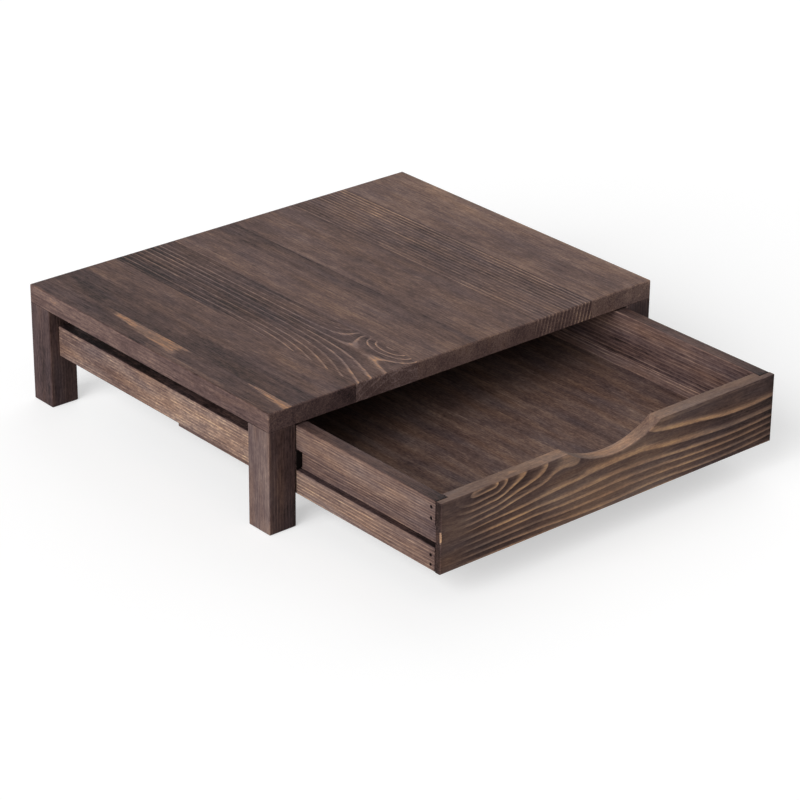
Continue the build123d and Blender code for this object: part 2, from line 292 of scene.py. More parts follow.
@dataclass(frozen=True)
class StainedPine:
    """Sawn pine, sanded, wiped with dark brown stain and lacquered to a satin sheen.

    The soft early wood drinks the stain and goes dark. The hard late wood resists it, so each growth
    ring ends in a thin pale line. Wiping leaves cloudy marks, and where glue or resin sat the stain took
    less. The lacquer closes the surface and gives it a silky sheen, through which the fibres still show.
    Tones are places on a ladder of colours from the darkest stain at 0 to raw wood at 1.
    """

    name: str
    laid: Laid
    tone: float = 0.5
    ring_width: float = 5.2  # mm between two late wood lines on the face
    line: float = 0.25  # how far a late wood line rises on the ladder
    line_share: float = 0.3  # part of a ring that is late wood
    rise_before: float = 0.15  # part of a ring by which the line starts to rise before it
    rise_share: float = 0.55  # part of the late wood over which the line goes on rising
    line_end: float = 0.93  # part of a ring past which the line is cut off
    early: float = -0.28  # how far the stain falls just past a line, as a share of the line's rise
    first_ring: float = 40.0  # keeps the count of rings above 0
    phase: float = 0.0  # shifts the lines across the board, in rings
    slant: float = 1.4  # how many mm of width one mm of thickness counts for in the rings
    lean: float = 0.0  # mm that the lines wander across for each mm along
    wander: float = 2.5  # mm, the slow wave of the lines
    ripple: float = 0.22  # the quick wave, as a share of it
    fade: float = 0.5  # how much of a line comes and goes along the board
    run: float = 60.0  # mm that it keeps its strength for
    blotch: float = 0.09  # uneven stain
    fibre: float = 0.075  # fine streaks
    across_tones: Profile = ()  # (share of the width, step on the ladder)
    along_tones: Profile = ()
    line_tones: Profile = ()  # (share of the width, how strong the lines are)
    along_lines: Profile = ()  # the same along the board
    luck: tuple[float, float] = (0.45, 1.15)  # weakest and strongest line
    luck_step: float = 7.3  # how far apart two seeds draw it
    swirls: tuple[Swirl, ...] = ()
    streaks: tuple[Streak, ...] = ()
    cathedral: Cathedral | None = None
    chips: tuple[Chip, ...] = ()
    mottle: float = 0.085  # cloudy wiping marks
    edge_tone: float = 0.0  # step on the board's narrow faces
    edge_from: tuple[float, float] = (0.6, 0.9)  # how squarely a face must look that way to take it
    edge_lines: float = 0.35  # how strong the lines are there
    end_lines: float = 1.0  # and on end grain
    end_tone: float = -0.1  # step for end grain, which drinks more stain
    pores: float = 0.06  # speckles there
    seam: float = -0.08  # step in the glue line along both sides
    seam_width: tuple[float, float] = (0.2, 0.7)  # mm from the side where it starts and ends to fade
    worn: float = 0.1  # step along the sanded edges
    worn_width: tuple[float, float] = (0.3, 1.6)  # mm from an arris where that starts and ends to fade
    seed: float = 0.0
    ladder: tuple[str, ...] = ("#1d1514", "#483734", "#624d46", "#7d6559", "#a68771", "#d9b88f")
    smoky_cuts: float = 0.0  # how much smokier the narrow faces and the ends are
    cool: str = "#e8f1ff"  # tint where the stain looks smoky
    warm: str = "#fff8ee"  # tint where the wood glows through
    roughness: float = 0.62
    polish: float = 0.08  # how much smoother or rougher fibres are
    relief: float = 0.2  # mm that lines and fibres stand out, raised by the stain's water
    relief_strength: float = 0.4
    specular: float = 0.08
    lacquer: float = 1.5  # its refractive index

    def build(self, low: Vector, high: Vector,
              wear_box: tuple[Vector, Vector] | None = None) -> bpy.types.Material:
        """Write the material for a board with these corners.

        Args:
            low: the board's lowest corner in the frame, in metres.
            high: its highest corner.
            wear_box: the corners of the glued-up piece whose edges are sanded, where it isn't the board.

        Returns:
            The material.
        """
        material, tree = new_material(self.name)
        spot = self.find(tree, low, high)
        edge, end = self.facing(tree, 1), self.facing(tree, 0)
        cut = add(tree, MATH, edge, end, operation="MAXIMUM")
        line = self.late_wood(spot, self.rings(spot))
        for face, strength in ((edge, self.edge_lines), (end, self.end_lines)):
            weak = add(tree, MAP_RANGE, face, 0.0, 1.0, 1.0, strength)
            line = add(tree, MATH, line, weak, operation="MULTIPLY")
        fibre = self.patches(spot, Patch.FIBRE)
        tone = self.tones(spot, fibre, cut)
        tone = add(tree, MATH, tone, line, operation="ADD")
        square = self.facing(tree, 1, self.edge_from)
        tone = add(tree, MATH, square, self.edge_tone, tone, operation="MULTIPLY_ADD")
        pores = self.patches(spot, Patch.PORE, (
            *NOISE_SPREAD, self.end_tone - self.pores, self.end_tone + self.pores))
        tone = add(tree, MATH, end, pores, tone, operation="MULTIPLY_ADD")
        tone = self.sanded_edges(spot, tone, *(wear_box or (low, high)))
        steps = len(self.ladder) - 1
        stops = tuple((number / steps, step) for number, step in enumerate(self.ladder))
        colour = add(tree, "ShaderNodeValToRGB", tone, stops=stops)
        glow = self.patches(spot, Patch.GLOW)
        glow = add(tree, MATH, cut, -self.smoky_cuts, glow, operation="MULTIPLY_ADD")
        tint = add(tree, "ShaderNodeValToRGB", glow, stops=tuple(zip(NOISE_SPREAD, (self.cool, self.warm))))
        colour = add(tree, "ShaderNodeMix", 1.0, named={COLOUR_A: colour, COLOUR_B: tint}, out=COLOUR_OUT,
                     data_type="RGBA", blend_type="MULTIPLY")
        rough = add(tree, MAP_RANGE, fibre, 0.0, 1.0,
                    self.roughness + self.polish, self.roughness - self.polish)
        relief = add(tree, MATH, line, fibre, operation="ADD")
        bump = add(tree, "ShaderNodeBump", named={
            "Strength": self.relief_strength, "Distance": self.relief * MM, "Height": relief})
        shader = add(tree, "ShaderNodeBsdfPrincipled", named={
            "Base Color": colour, "Roughness": rough, "Normal": bump,
            "Specular IOR Level": self.specular, "IOR": self.lacquer})
        add(tree, "ShaderNodeOutputMaterial", shader)
        return material

    def find(self, tree: Tree, low: Vector, high: Vector) -> Spot:
        """Turn Object coordinates into mm along, across and through the board.

        Args:
            tree: the material's tree.
            low: the board's lowest corner, in metres.
            high: its highest corner.

        Returns:
            The spot.
        """
        corners = {"X": (low.x, high.x), "Y": (low.y, high.y), "Z": (low.z, high.z)}
        scale, offset = {}, {}
        for axis, sign in self.laid.value:
            start = corners[axis][0] if sign > 0 else corners[axis][1]
            scale[axis], offset[axis] = sign / MM, -sign * start / MM
        moved = add(tree, "ShaderNodeMapping", named={
            "Vector": add(tree, "ShaderNodeTexCoord", out="Object"),
            "Scale": [scale[axis] for axis in "XYZ"], "Location": [offset[axis] for axis in "XYZ"]})
        ways = [add(tree, SPLIT, moved, out=axis) for axis, _ in self.laid.value]
        length, width, _ = ((corners[axis][1] - corners[axis][0]) / MM for axis, _ in self.laid.value)
        return Spot(tree, add(tree, "ShaderNodeCombineXYZ", *ways), *ways, length, width)

    def patches(self, spot: Spot, patch: Patch, spread: tuple[float, float, float, float] | None = None,
                stretch: float = 1.0, extra: float = 0.0) -> Socket:
        """Strew one kind of patch over the board, as long, wide and deep as the kind says.

        Args:
            spot: where the point lies.
            patch: the kind.
            spread: a low and a high of the noise, and the values that they turn into.
            stretch: how many times larger the patches are.
            extra: what is added to the seed.

        Returns:
            The patches' strength, from 0 to 1 where there is no spread.
        """
        sizes, detail, seed = patch.value
        seed += self.seed + extra
        stretched = add(spot.tree, "ShaderNodeMapping", named={
            "Vector": spot.place, "Scale": [1 / (size * stretch) for size in sizes],
            "Location": [step * seed for step in SEED_STEPS]})
        value = add(spot.tree, "ShaderNodeTexNoise", named={
            "Vector": stretched, "Scale": 1.0, "Detail": detail})
        return add(spot.tree, MAP_RANGE, value, *spread) if spread else value

    def rings(self, spot: Spot) -> Socket:
        """Count the growth rings between the board's edge and a point, swung and waved as they grew.

        Args:
            spot: where the point lies.

        Returns:
            The number of rings.
        """
        tree = spot.tree
        depth = add(tree, MATH, spot.through, self.slant, spot.across, operation="MULTIPLY_ADD")
        if self.lean:
            depth = add(tree, MATH, spot.along, self.lean, depth, operation="MULTIPLY_ADD")
        if self.cathedral:
            depth = self.loops(spot, self.cathedral, depth)
        for swirl in self.swirls:
            away = add(tree, "ShaderNodeMapping", named={
                "Vector": spot.place, "Scale": (1 / swirl.length, 1 / swirl.width, 0.0),
                "Location": (-swirl.along / swirl.length, -swirl.across / swirl.width, 0.0)})
            square = add(tree, VECTOR_MATH, away, away, operation="DOT_PRODUCT", out="Value")
            square = add(tree, MATH, square, -1.0, operation="MULTIPLY")
            bell = add(tree, MATH, square, operation="EXPONENT")
            depth = add(tree, MATH, bell, swirl.lift, depth, operation="MULTIPLY_ADD")
        for patch, size in ((Patch.BEND, self.wander), (Patch.RIPPLE, self.wander * self.ripple)):
            wave = add(tree, MATH, self.patches(spot, patch), NOISE_MIDDLE, operation="SUBTRACT")
            depth = add(tree, MATH, wave, 2 * size, depth, operation="MULTIPLY_ADD")
        first = self.first_ring + self.phase
        return add(tree, MATH, depth, 1 / self.ring_width, first, operation="MULTIPLY_ADD")

    def loops(self, spot: Spot, figure: Cathedral, down: Socket) -> Socket:
        """Lay out the cathedral's rings: loops round the pith, one wide ring, even rings below.

        Args:
            spot: where the point lies.
            figure: the cathedral.
            down: mm across the board, with its thickness counted in.

        Returns:
            The same in mm of even rings.
        """
        tree = spot.tree
        across, depth, *lines = (
            read_profile(tree, spot.along, spot.length,
                         tuple((place / spot.length, value) for place, value in profile), *figure.reach)
            for profile in (figure.pith_across, figure.pith_depth, *(line for line, _ in figure.lines)))
        beside = add(tree, MATH, down, across, operation="SUBTRACT")
        away = add(tree, "ShaderNodeCombineXYZ", beside, depth)
        away = add(tree, VECTOR_MATH, away, operation="LENGTH", out="Value")
        inner = add(tree, MATH, away, figure.loop_radius, operation="SUBTRACT")
        inner = add(tree, MATH, inner, 0.0, operation="MINIMUM")
        square = add(tree, MATH, depth, 2.0, operation="POWER")
        square = add(tree, MATH, figure.loop_radius ** 2, square, operation="SUBTRACT")
        square = add(tree, MATH, square, 0.0, operation="MAXIMUM")
        above = add(tree, MATH, square, operation="SQRT")
        above = add(tree, MATH, above, across, operation="ADD")
        outer = figure.unfinished
        for line, (_, rings) in zip(lines, figure.lines):
            least = add(tree, MATH, above, figure.thinnest, operation="ADD")
            line = add(tree, MATH, line, least, operation="MAXIMUM")
            between = add(tree, MAP_RANGE, down, above, line, 0.0, rings)
            outer, above = add(tree, MATH, between, outer, operation="ADD"), line
        inner = add(tree, MATH, inner, self.ring_width / figure.loop_ring, operation="MULTIPLY")
        return add(tree, MATH, outer, self.ring_width, inner, operation="MULTIPLY_ADD")

    def late_wood(self, spot: Spot, rings: Socket) -> Socket:
        """Draw the pale line that ends each ring, and the darkest stain just past it.

        Args:
            spot: where the point lies.
            rings: how many rings lie before it.

        Returns:
            Steps on the ladder.
        """
        tree = spot.tree
        part = add(tree, MATH, rings, operation="FRACT")
        number = add(tree, MATH, rings, operation="FLOOR")
        start = 1.0 - self.line_share
        rise = add(tree, MAP_RANGE, part, start - self.rise_before, start + self.line_share * self.rise_share,
                   interpolation_type="SMOOTHSTEP")
        fall = add(tree, MAP_RANGE, part, self.line_end, 1.0, 1.0, 0.0, interpolation_type="SMOOTHSTEP")
        pale = add(tree, MATH, rise, fall, operation="MULTIPLY")
        early = add(tree, MAP_RANGE, part, 0.0, start, self.early, 0.0)
        number = add(tree, MATH, number, self.luck_step * self.seed, operation="ADD")
        luck = add(tree, "ShaderNodeTexWhiteNoise", named={"W": number}, noise_dimensions="1D")
        strength = add(tree, MAP_RANGE, luck, 0.0, 1.0, *self.luck)
        breaks = self.patches(spot, Patch.BREAK, (*BREAK_SPREAD, 1.0 - self.fade, 1.0), stretch=self.run)
        strength = add(tree, MATH, strength, breaks, operation="MULTIPLY")
        for way, size, steps in ((spot.across, spot.width, self.line_tones),
                                 (spot.along, spot.length, self.along_lines)):
            if steps:
                local = read_profile(tree, way, size, steps, *LINE_RANGE)
                strength = add(tree, MATH, strength, local, operation="MULTIPLY")
        shape = add(tree, MATH, pale, early, operation="ADD")
        shape = add(tree, MATH, shape, strength, operation="MULTIPLY")
        return add(tree, MATH, shape, self.line, operation="MULTIPLY")

    def facing(self, tree: Tree, number: int, squareness: tuple[float, float] = (0.6, 0.9)) -> Socket:
        """Tell the faces that look along one of the board's ways.

        Args:
            tree: the material's tree.
            number: 0 for the board's length, 1 for its width.
            squareness: the least that counts and what counts in full.

        Returns:
            1 on such faces and 0 elsewhere.
        """
        normal = add(tree, "ShaderNodeTexCoord", out="Normal")
        facing = add(tree, SPLIT, normal, out=self.laid.value[number][0])
        facing = add(tree, MATH, facing, operation="ABSOLUTE")
        return add(tree, MAP_RANGE, facing, *squareness)

    def tones(self, spot: Spot, fibre: Socket, cut: Socket) -> Socket:
        """Lay the stain over the board: its own tone, blotches, fibres, stripes, seams and streaks.

        Args:
            spot: where the point lies.
            fibre: the noise of the fibres.
            cut: 1 on narrow faces and end grain.

        Returns:
            The place on the ladder.
        """
        tree = spot.tree
        tone = add(tree, MAP_RANGE, fibre, *FIBRE_SPREAD, self.tone - self.fibre, self.tone + self.fibre)
        for patch, depth in ((Patch.BLOTCH, self.blotch), (Patch.CLOUD, self.mottle),
                             (Patch.WIPE, self.mottle), (Patch.SHORT_FIBRE, self.fibre),
                             (Patch.LONG_FIBRE, 0.5 * self.fibre), (Patch.SPECK, 0.8 * self.mottle)):
            uneven = self.patches(spot, patch, (*NOISE_SPREAD, -depth, depth))
            tone = add(tree, MATH, tone, uneven, operation="ADD")
        for way, size, steps in ((spot.across, spot.width, self.across_tones),
                                 (spot.along, spot.length, self.along_tones)):
            if steps:
                step = read_profile(tree, way, size, steps, *TONE_RANGE)
                tone = add(tree, MATH, tone, step, operation="ADD")
        other = add(tree, MATH, spot.width, spot.across, operation="SUBTRACT")
        glue = add(tree, MATH, spot.across, other, operation="MINIMUM")
        glue = add(tree, MAP_RANGE, glue, *self.seam_width, self.seam, 0.0)
        tone = add(tree, MATH, tone, glue, operation="ADD")
        face = add(tree, MATH, 1.0, cut, operation="SUBTRACT")
        for number, streak in enumerate(self.streaks):
            inside = add(tree, MATH, self.streak(spot, streak, number), face, operation="MULTIPLY")
            tone = add(tree, MATH, inside, streak.depth, tone, operation="MULTIPLY_ADD")
        for chip in self.chips:
            torn = add(tree, "ShaderNodeMapping", named={
                "Vector": spot.place, "Scale": [1 / half for half in chip.half],
                "Location": [-middle / half for middle, half in zip(chip.middle, chip.half)]})
            torn = add(tree, VECTOR_MATH, torn, operation="LENGTH", out="Value")
            ragged = self.patches(spot, Patch.TORN)
            torn = add(tree, MATH, ragged, chip.ragged, torn, operation="MULTIPLY_ADD")
            torn = add(tree, MAP_RANGE, torn, *chip.edge, chip.lift, 0.0)
            tone = add(tree, MATH, tone, torn, operation="ADD")
        return tone

    def streak(self, spot: Spot, streak: Streak, number: int) -> Socket:
        """Tell how far a point lies inside a streak with a ragged outline.

        Args:
            spot: where the point lies.
            streak: the streak.
            number: its place among the board's streaks, for a noise of its own.

        Returns:
            A value from 0 outside to 1 inside.
        """
        tree = spot.tree
        ragged = self.patches(spot, Patch.RAGGED, extra=number)
        ragged = add(tree, MATH, ragged, NOISE_MIDDLE, operation="SUBTRACT")
        (back, front), (near, far), soft = streak.along, streak.across, streak.soft
        shift = add(tree, MATH, ragged, streak.ragged * (far - near), spot.across, operation="MULTIPLY_ADD")
        if streak.taper:
            gone = add(tree, MAP_RANGE, spot.along, back, front, streak.taper, 0.0)
            shift = add(tree, MATH, shift, gone, operation="SUBTRACT")
        wander = streak.end_wander * streak.ragged
        torn = add(tree, MATH, ragged, wander, spot.along, operation="MULTIPLY_ADD")
        inside = add(tree, MAP_RANGE, shift, near, near + soft)
        for way, start, stop, low, high in (
                (spot.across, far - streak.far_fade * soft, far, 1.0, 0.0),
                (torn, back, back + streak.end_fade * soft, 0.0, 1.0),
                (torn, front - streak.end_fade * soft, front, 1.0, 0.0)):
            limit = add(tree, MAP_RANGE, way, start, stop, low, high)
            inside = add(tree, MATH, inside, limit, operation="MULTIPLY")
        return inside

    def sanded_edges(self, spot: Spot, tone: Socket, low: Vector, high: Vector) -> Socket:
        """Make the tone paler where sanding has taken the stain off along the edges.

        A point is near an edge where it is near two of the box's faces, so the middle one of its three
        distances to the faces is small.

        Args:
            spot: where the point lies.
            tone: its tone so far.
            low: the lowest corner of the sanded piece, in metres.
            high: its highest corner.

        Returns:
            The new tone.
        """
        tree, centre, half = spot.tree, (low + high) / 2, (high - low) / 2
        point = add(tree, "ShaderNodeTexCoord", out="Object")
        moved = add(tree, VECTOR_MATH, point, centre, operation="SUBTRACT")
        moved = add(tree, VECTOR_MATH, moved, operation="ABSOLUTE")
        inside = add(tree, VECTOR_MATH, half, moved, operation="SUBTRACT")
        x, y, z = (add(tree, SPLIT, inside, out=axis) for axis in "XYZ")
        least = add(tree, MATH, x, y, operation="MINIMUM")
        most = add(tree, MATH, x, y, operation="MAXIMUM")
        most = add(tree, MATH, most, z, operation="MINIMUM")
        middle = add(tree, MATH, least, most, operation="MAXIMUM")
        near = add(tree, MAP_RANGE, middle, *(width * MM for width in self.worn_width), 1.0, 0.0)
        rubbed = self.patches(spot, Patch.RUBBED, (*RUB_SPREAD, 0.0, self.worn))
        return add(tree, MATH, near, rubbed, tone, operation="MULTIPLY_ADD")


# ---------------------------------------------------------------- other finishes
@dataclass(frozen=True)
class TurnedBeech:
    """Beech dowel rod, turned, cut to length and left raw.

    It is pale and pinkish with no shine, and short, fine rays fleck it.
    """

    name: str = "raw_beech_dowel"
    pale: str = "#c9a988"
    ray: str = "#a9825f"
    rays: float = 2200.0  # a metre: drawn about 0.45 mm wide, coarser than real ones so that they show
    roughness: float = 0.7
    specular: float = 0.2
    relief: float = 0.1  # mm
    relief_strength: float = 0.3

    def build(self) -> bpy.types.Material:
        """Write the material.

        Returns:
            The material.
        """
        material, tree = new_material(self.name)
        point = add(tree, "ShaderNodeTexCoord", out="Object")
        rays = add(tree, "ShaderNodeTexNoise", named={"Vector": point, "Scale": self.rays, "Detail": 2.0})
        colour = add(tree, "ShaderNodeMix", rays, out=COLOUR_OUT, data_type="RGBA", named={
            COLOUR_A: linear(self.pale), COLOUR_B: linear(self.ray)})
        bump = add(tree, "ShaderNodeBump", named={
            "Strength": self.relief_strength, "Distance": self.relief * MM, "Height": rays})
        shader = add(tree, "ShaderNodeBsdfPrincipled", named={
            "Base Color": colour, "Roughness": self.roughness, "Specular IOR Level": self.specular,
            "Normal": bump})
        add(tree, "ShaderNodeOutputMaterial", shader)
        return material


@dataclass(frozen=True)
class DrawnSteel:
    """Steel wire, drawn bright through a die, then headed, cut and tumbled.

    Drawing leaves it smooth and shining, and tumbling and handling leave a fine haze that mottles the shine.
    """

    name: str = "drawn_steel"
    bright: str = "#b4b1ac"
    dull: str = "#7d7a76"
    marks: float = 2500.0  # a metre: drawn about 0.4 mm wide, coarser than real ones so that they show
    roughness: tuple[float, float] = (0.28, 0.5)  # where it is bright and where it is dull
    relief: float = 0.05  # mm
    relief_strength: float = 0.2

    def build(self) -> bpy.types.Material:
        """Write the material.

        Returns:
            The material.
        """
        material, tree = new_material(self.name)
        point = add(tree, "ShaderNodeTexCoord", out="Object")
        marks = add(tree, "ShaderNodeTexNoise", named={"Vector": point, "Scale": self.marks, "Detail": 3.0})
        colour = add(tree, "ShaderNodeMix", marks, out=COLOUR_OUT, data_type="RGBA", named={
            COLOUR_A: linear(self.bright), COLOUR_B: linear(self.dull)})
        rough = add(tree, MAP_RANGE, marks, 0.0, 1.0, *self.roughness)
        bump = add(tree, "ShaderNodeBump", named={
            "Strength": self.relief_strength, "Distance": self.relief * MM, "Height": marks})
        shader = add(tree, "ShaderNodeBsdfPrincipled", named={
            "Base Color": colour, "Metallic": 1.0, "Roughness": rough, "Normal": bump})
        add(tree, "ShaderNodeOutputMaterial", shader)
        return material


# ---------------------------------------------------------------- dowels, screws and brads
class Head(Enum):
    """Which way along its axis a fastener's head points."""

    OUTWARD = 1.0
    INWARD = -1.0


@dataclass(frozen=True)
class RodPoint:
    """A point of a plain rod, as sockets of a Geometry Nodes tree, with the tree's named sizes."""

    tree: Tree
    sizes: dict[str, Socket]
    height: Socket  # from the middle of the rod, in metres
    share: Socket  # of the length, from the foot
    angle: Socket


@dataclass
class Fasteners:
    """Turned pieces of one kind on one body, each set where the CAD node has its solid.

    The tree makes one piece along +Z with its head up, and sets a copy at every point. Its sizes are named
    inputs, in metres. Nothing in it is random, so it needs no seed.
    """

    node: str
    body: str
    slot: str
    head: Head = Head.OUTWARD
    sides: int = 24  # faces round the rod
    rows: int = 24  # rows of them along it
    fill: int = 2  # rings of faces at its ends
    middle_height: float = 60.0  # mm above the floor, which outward leads away from
    weld: float = 0.001  # mm within which the vertices of a solid's faces are one
    profile: Profile = ((0.0, 1.0), (1.0, 1.0))  # (share of the length, radius in mm)

    def build(self, material: bpy.types.Material) -> None:
        """Make the pieces as one plain mesh and let it stand for the CAD node.

        Args:
            material: the finish of the pieces.
        """
        spots, length = self.spots()
        mesh = bpy.data.meshes.new(f"{self.node}_spots")
        mesh.from_pydata([centre for centre, _ in spots], [], [])
        aims = mesh.attributes.new("aim", "FLOAT_VECTOR", "POINT")
        for number, (_, aim) in enumerate(spots):
            aims.data[number].vector = aim
        piece = bpy.data.objects.new(f"{self.node}_turned", mesh)
        bpy.context.scene.collection.objects.link(piece)
        modifier = piece.modifiers.new("set_in_place", "NODES")
        modifier.node_group = self.tree(material)
        values = {"Length": length, **self.sizes()}
        for item in modifier.node_group.interface.items_tree:
            if item.name in values:
                modifier[item.identifier] = values[item.name]
        evaluated = piece.evaluated_get(bpy.context.evaluated_depsgraph_get())
        plain = bpy.data.meshes.new_from_object(evaluated)
        plain.materials.clear()  # the rod brings an empty slot
        plain.materials.append(material)
        plain.polygons.foreach_set("material_index", [0] * len(plain.polygons))
        piece.modifiers.clear()
        piece.data = plain
        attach(piece, self.body)
        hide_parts(self.node)
        LOG.info("%s: %d pieces, %d faces", piece.name, len(spots), len(plain.polygons))

    def sizes(self) -> dict[str, float | int]:
        """Give the tree's named inputs next to the length: sizes in metres, and numbers of things."""
        return {"Radius": max(radius for _, radius in self.profile) * MM}

    def spots(self) -> tuple[list[tuple[Vector, Vector]], float]:
        """Find the CAD node's solids.

        Returns:
            The centre of each and the way that its head points, and their length in metres.
        """
        shape = bmesh.new()
        shape.from_mesh(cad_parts[self.node].data)
        bmesh.ops.remove_doubles(shape, verts=shape.verts, dist=self.weld * MM)
        left, found, length = set(shape.verts), [], 0.0
        middle = Vector((0.0, 0.0, self.middle_height * MM))
        while left:
            island, edge = set(), [left.pop()]
            while edge:
                vertex = edge.pop()
                island.add(vertex)
                near = {side.other_vert(vertex) for side in vertex.link_edges} & left
                left -= near
                edge += near
            low = Vector(min(vertex.co[axis] for vertex in island) for axis in range(3))
            high = Vector(max(vertex.co[axis] for vertex in island) for axis in range(3))
            size, centre = high - low, (low + high) / 2
            axis = max(range(3), key=lambda number: size[number])
            aim = Vector((0.0, 0.0, 0.0))
            aim[axis] = math.copysign(self.head.value, centre[axis] - middle[axis])
            length = size[axis]
            found.append((centre, aim))
        shape.free()
        return sorted(found, key=lambda spot: tuple(spot[0])), length

    def tree(self, material: bpy.types.Material) -> Tree:
        """Build the Geometry Nodes tree: one turned piece, set at every point.

        Args:
            material: the finish of the pieces.

        Returns:
            The tree.
        """
        tree = bpy.data.node_groups.new(f"{self.node}_tree", "GeometryNodeTree")
        tree.interface.new_socket("Geometry", in_out="INPUT", socket_type="NodeSocketGeometry")
        tree.interface.new_socket("Length", in_out="INPUT", socket_type="NodeSocketFloat")
        for name, value in self.sizes().items():
            kind = "NodeSocketInt" if isinstance(value, int) else "NodeSocketFloat"
            tree.interface.new_socket(name, in_out="INPUT", socket_type=kind)
        tree.interface.new_socket("Geometry", in_out="OUTPUT", socket_type="NodeSocketGeometry")
        points = add(tree, "NodeGroupInput", out="Geometry")
        sizes = {socket.name: socket for socket in points.node.outputs}
        rod = add(tree, "GeometryNodeMeshCylinder", fill_type="TRIANGLE_FAN", named={
            "Vertices": self.sides, "Side Segments": self.rows, "Fill Segments": self.fill, "Radius": 1.0,
            "Depth": sizes["Length"]})
        turned = add(tree, "GeometryNodeSetPosition", rod, named={"Position": self.turned(tree, sizes)})
        aim = add(tree, "GeometryNodeInputNamedAttribute", named={"Name": "aim"}, data_type="FLOAT_VECTOR")
        way = add(tree, "FunctionNodeAlignRotationToVector", named={"Vector": aim}, axis="Z")
        copies = add(tree, "GeometryNodeInstanceOnPoints", points, named={
            "Instance": turned, "Rotation": way})
        real = add(tree, "GeometryNodeRealizeInstances", copies)
        done = add(tree, "GeometryNodeSetMaterial", real, named={"Material": material})
        add(tree, "NodeGroupOutput", done)
        return tree

    def turned(self, tree: Tree, sizes: dict[str, Socket]) -> Socket:
        """Say where each point of a plain rod of radius 1 goes.

        Args:
            tree: the Geometry Nodes tree.
            sizes: its named inputs.

        Returns:
            The point's new position.
        """
        place = add(tree, "GeometryNodeInputPosition")
        x, y, z = (add(tree, SPLIT, place, out=axis) for axis in "XYZ")
        share = add(tree, MATH, z, sizes["Length"], operation="DIVIDE")
        share = add(tree, MATH, share, 0.5, operation="ADD")
        point = RodPoint(tree, sizes, z, share, add(tree, MATH, y, x, operation="ARCTAN2"))
        widest = max(radius for _, radius in self.profile)
        radius = add(tree, "ShaderNodeFloatCurve", 1.0, share, handles="VECTOR",
                     points=tuple((place, radius / widest) for place, radius in self.profile))
        radius = add(tree, MATH, radius, sizes["Radius"], operation="MULTIPLY")
        radius = self.relief(point, radius)
        x = add(tree, MATH, x, radius, operation="MULTIPLY")
        y = add(tree, MATH, y, radius, operation="MULTIPLY")
        return add(tree, "ShaderNodeCombineXYZ", x, y, self.depth(point, x, y))

    def relief(self, point: RodPoint, radius: Socket) -> Socket:
        """Give the radius with any flutes or thread.

        Args:
            point: the rod's point.
            radius: its radius from the profile, in metres.

        Returns:
            The radius, plain here.
        """
        return radius

    def depth(self, point: RodPoint, x: Socket, y: Socket) -> Socket:
        """Give the height with any recess in the head.

        Args:
            point: the rod's point.
            x: where it lies across the turned piece, in metres.
            y: the same the other way.

        Returns:
            The height, plain here.
        """
        return point.height


@dataclass
class FlutedDowels(Fasteners):
    """Beech dowels with glue flutes along them and eased ends."""

    slot: str = "dowel_beech"
    sides: int = 64
    rows: int = 26
    flutes: int = 16
    flute_depth: float = 0.22  # mm
    flute_from: float = 0.3  # how near its middle a flute starts, as a cosine
    radius: float = 4.0  # mm
    eased: float = 0.04  # share of the length that is eased at each end
    narrowed: float = 0.84  # what that leaves of the radius

    def __post_init__(self) -> None:
        """Ease both ends."""
        narrow = self.narrowed * self.radius
        self.profile = ((0.0, narrow), (self.eased, self.radius), (1.0 - self.eased, self.radius),
                        (1.0, narrow))

    def sizes(self) -> dict[str, float | int]:
        """Add the flutes to the tree's named inputs."""
        return {**super().sizes(), "Flutes": self.flutes, "Flute Depth": self.flute_depth * MM}

    def relief(self, point: RodPoint, radius: Socket) -> Socket:
        """Cut flutes round the rod.

        Args:
            point: the rod's point.
            radius: its radius from the profile, in metres.

        Returns:
            The radius in the flutes and between them.
        """
        tree, sizes = point.tree, point.sizes
        turn = add(tree, MATH, point.angle, sizes["Flutes"], operation="MULTIPLY")
        wave = add(tree, MATH, turn, operation="COSINE")
        cut = add(tree, MAP_RANGE, wave, self.flute_from, 1.0, 0.0, sizes["Flute Depth"])
        return add(tree, MATH, radius, cut, operation="SUBTRACT")


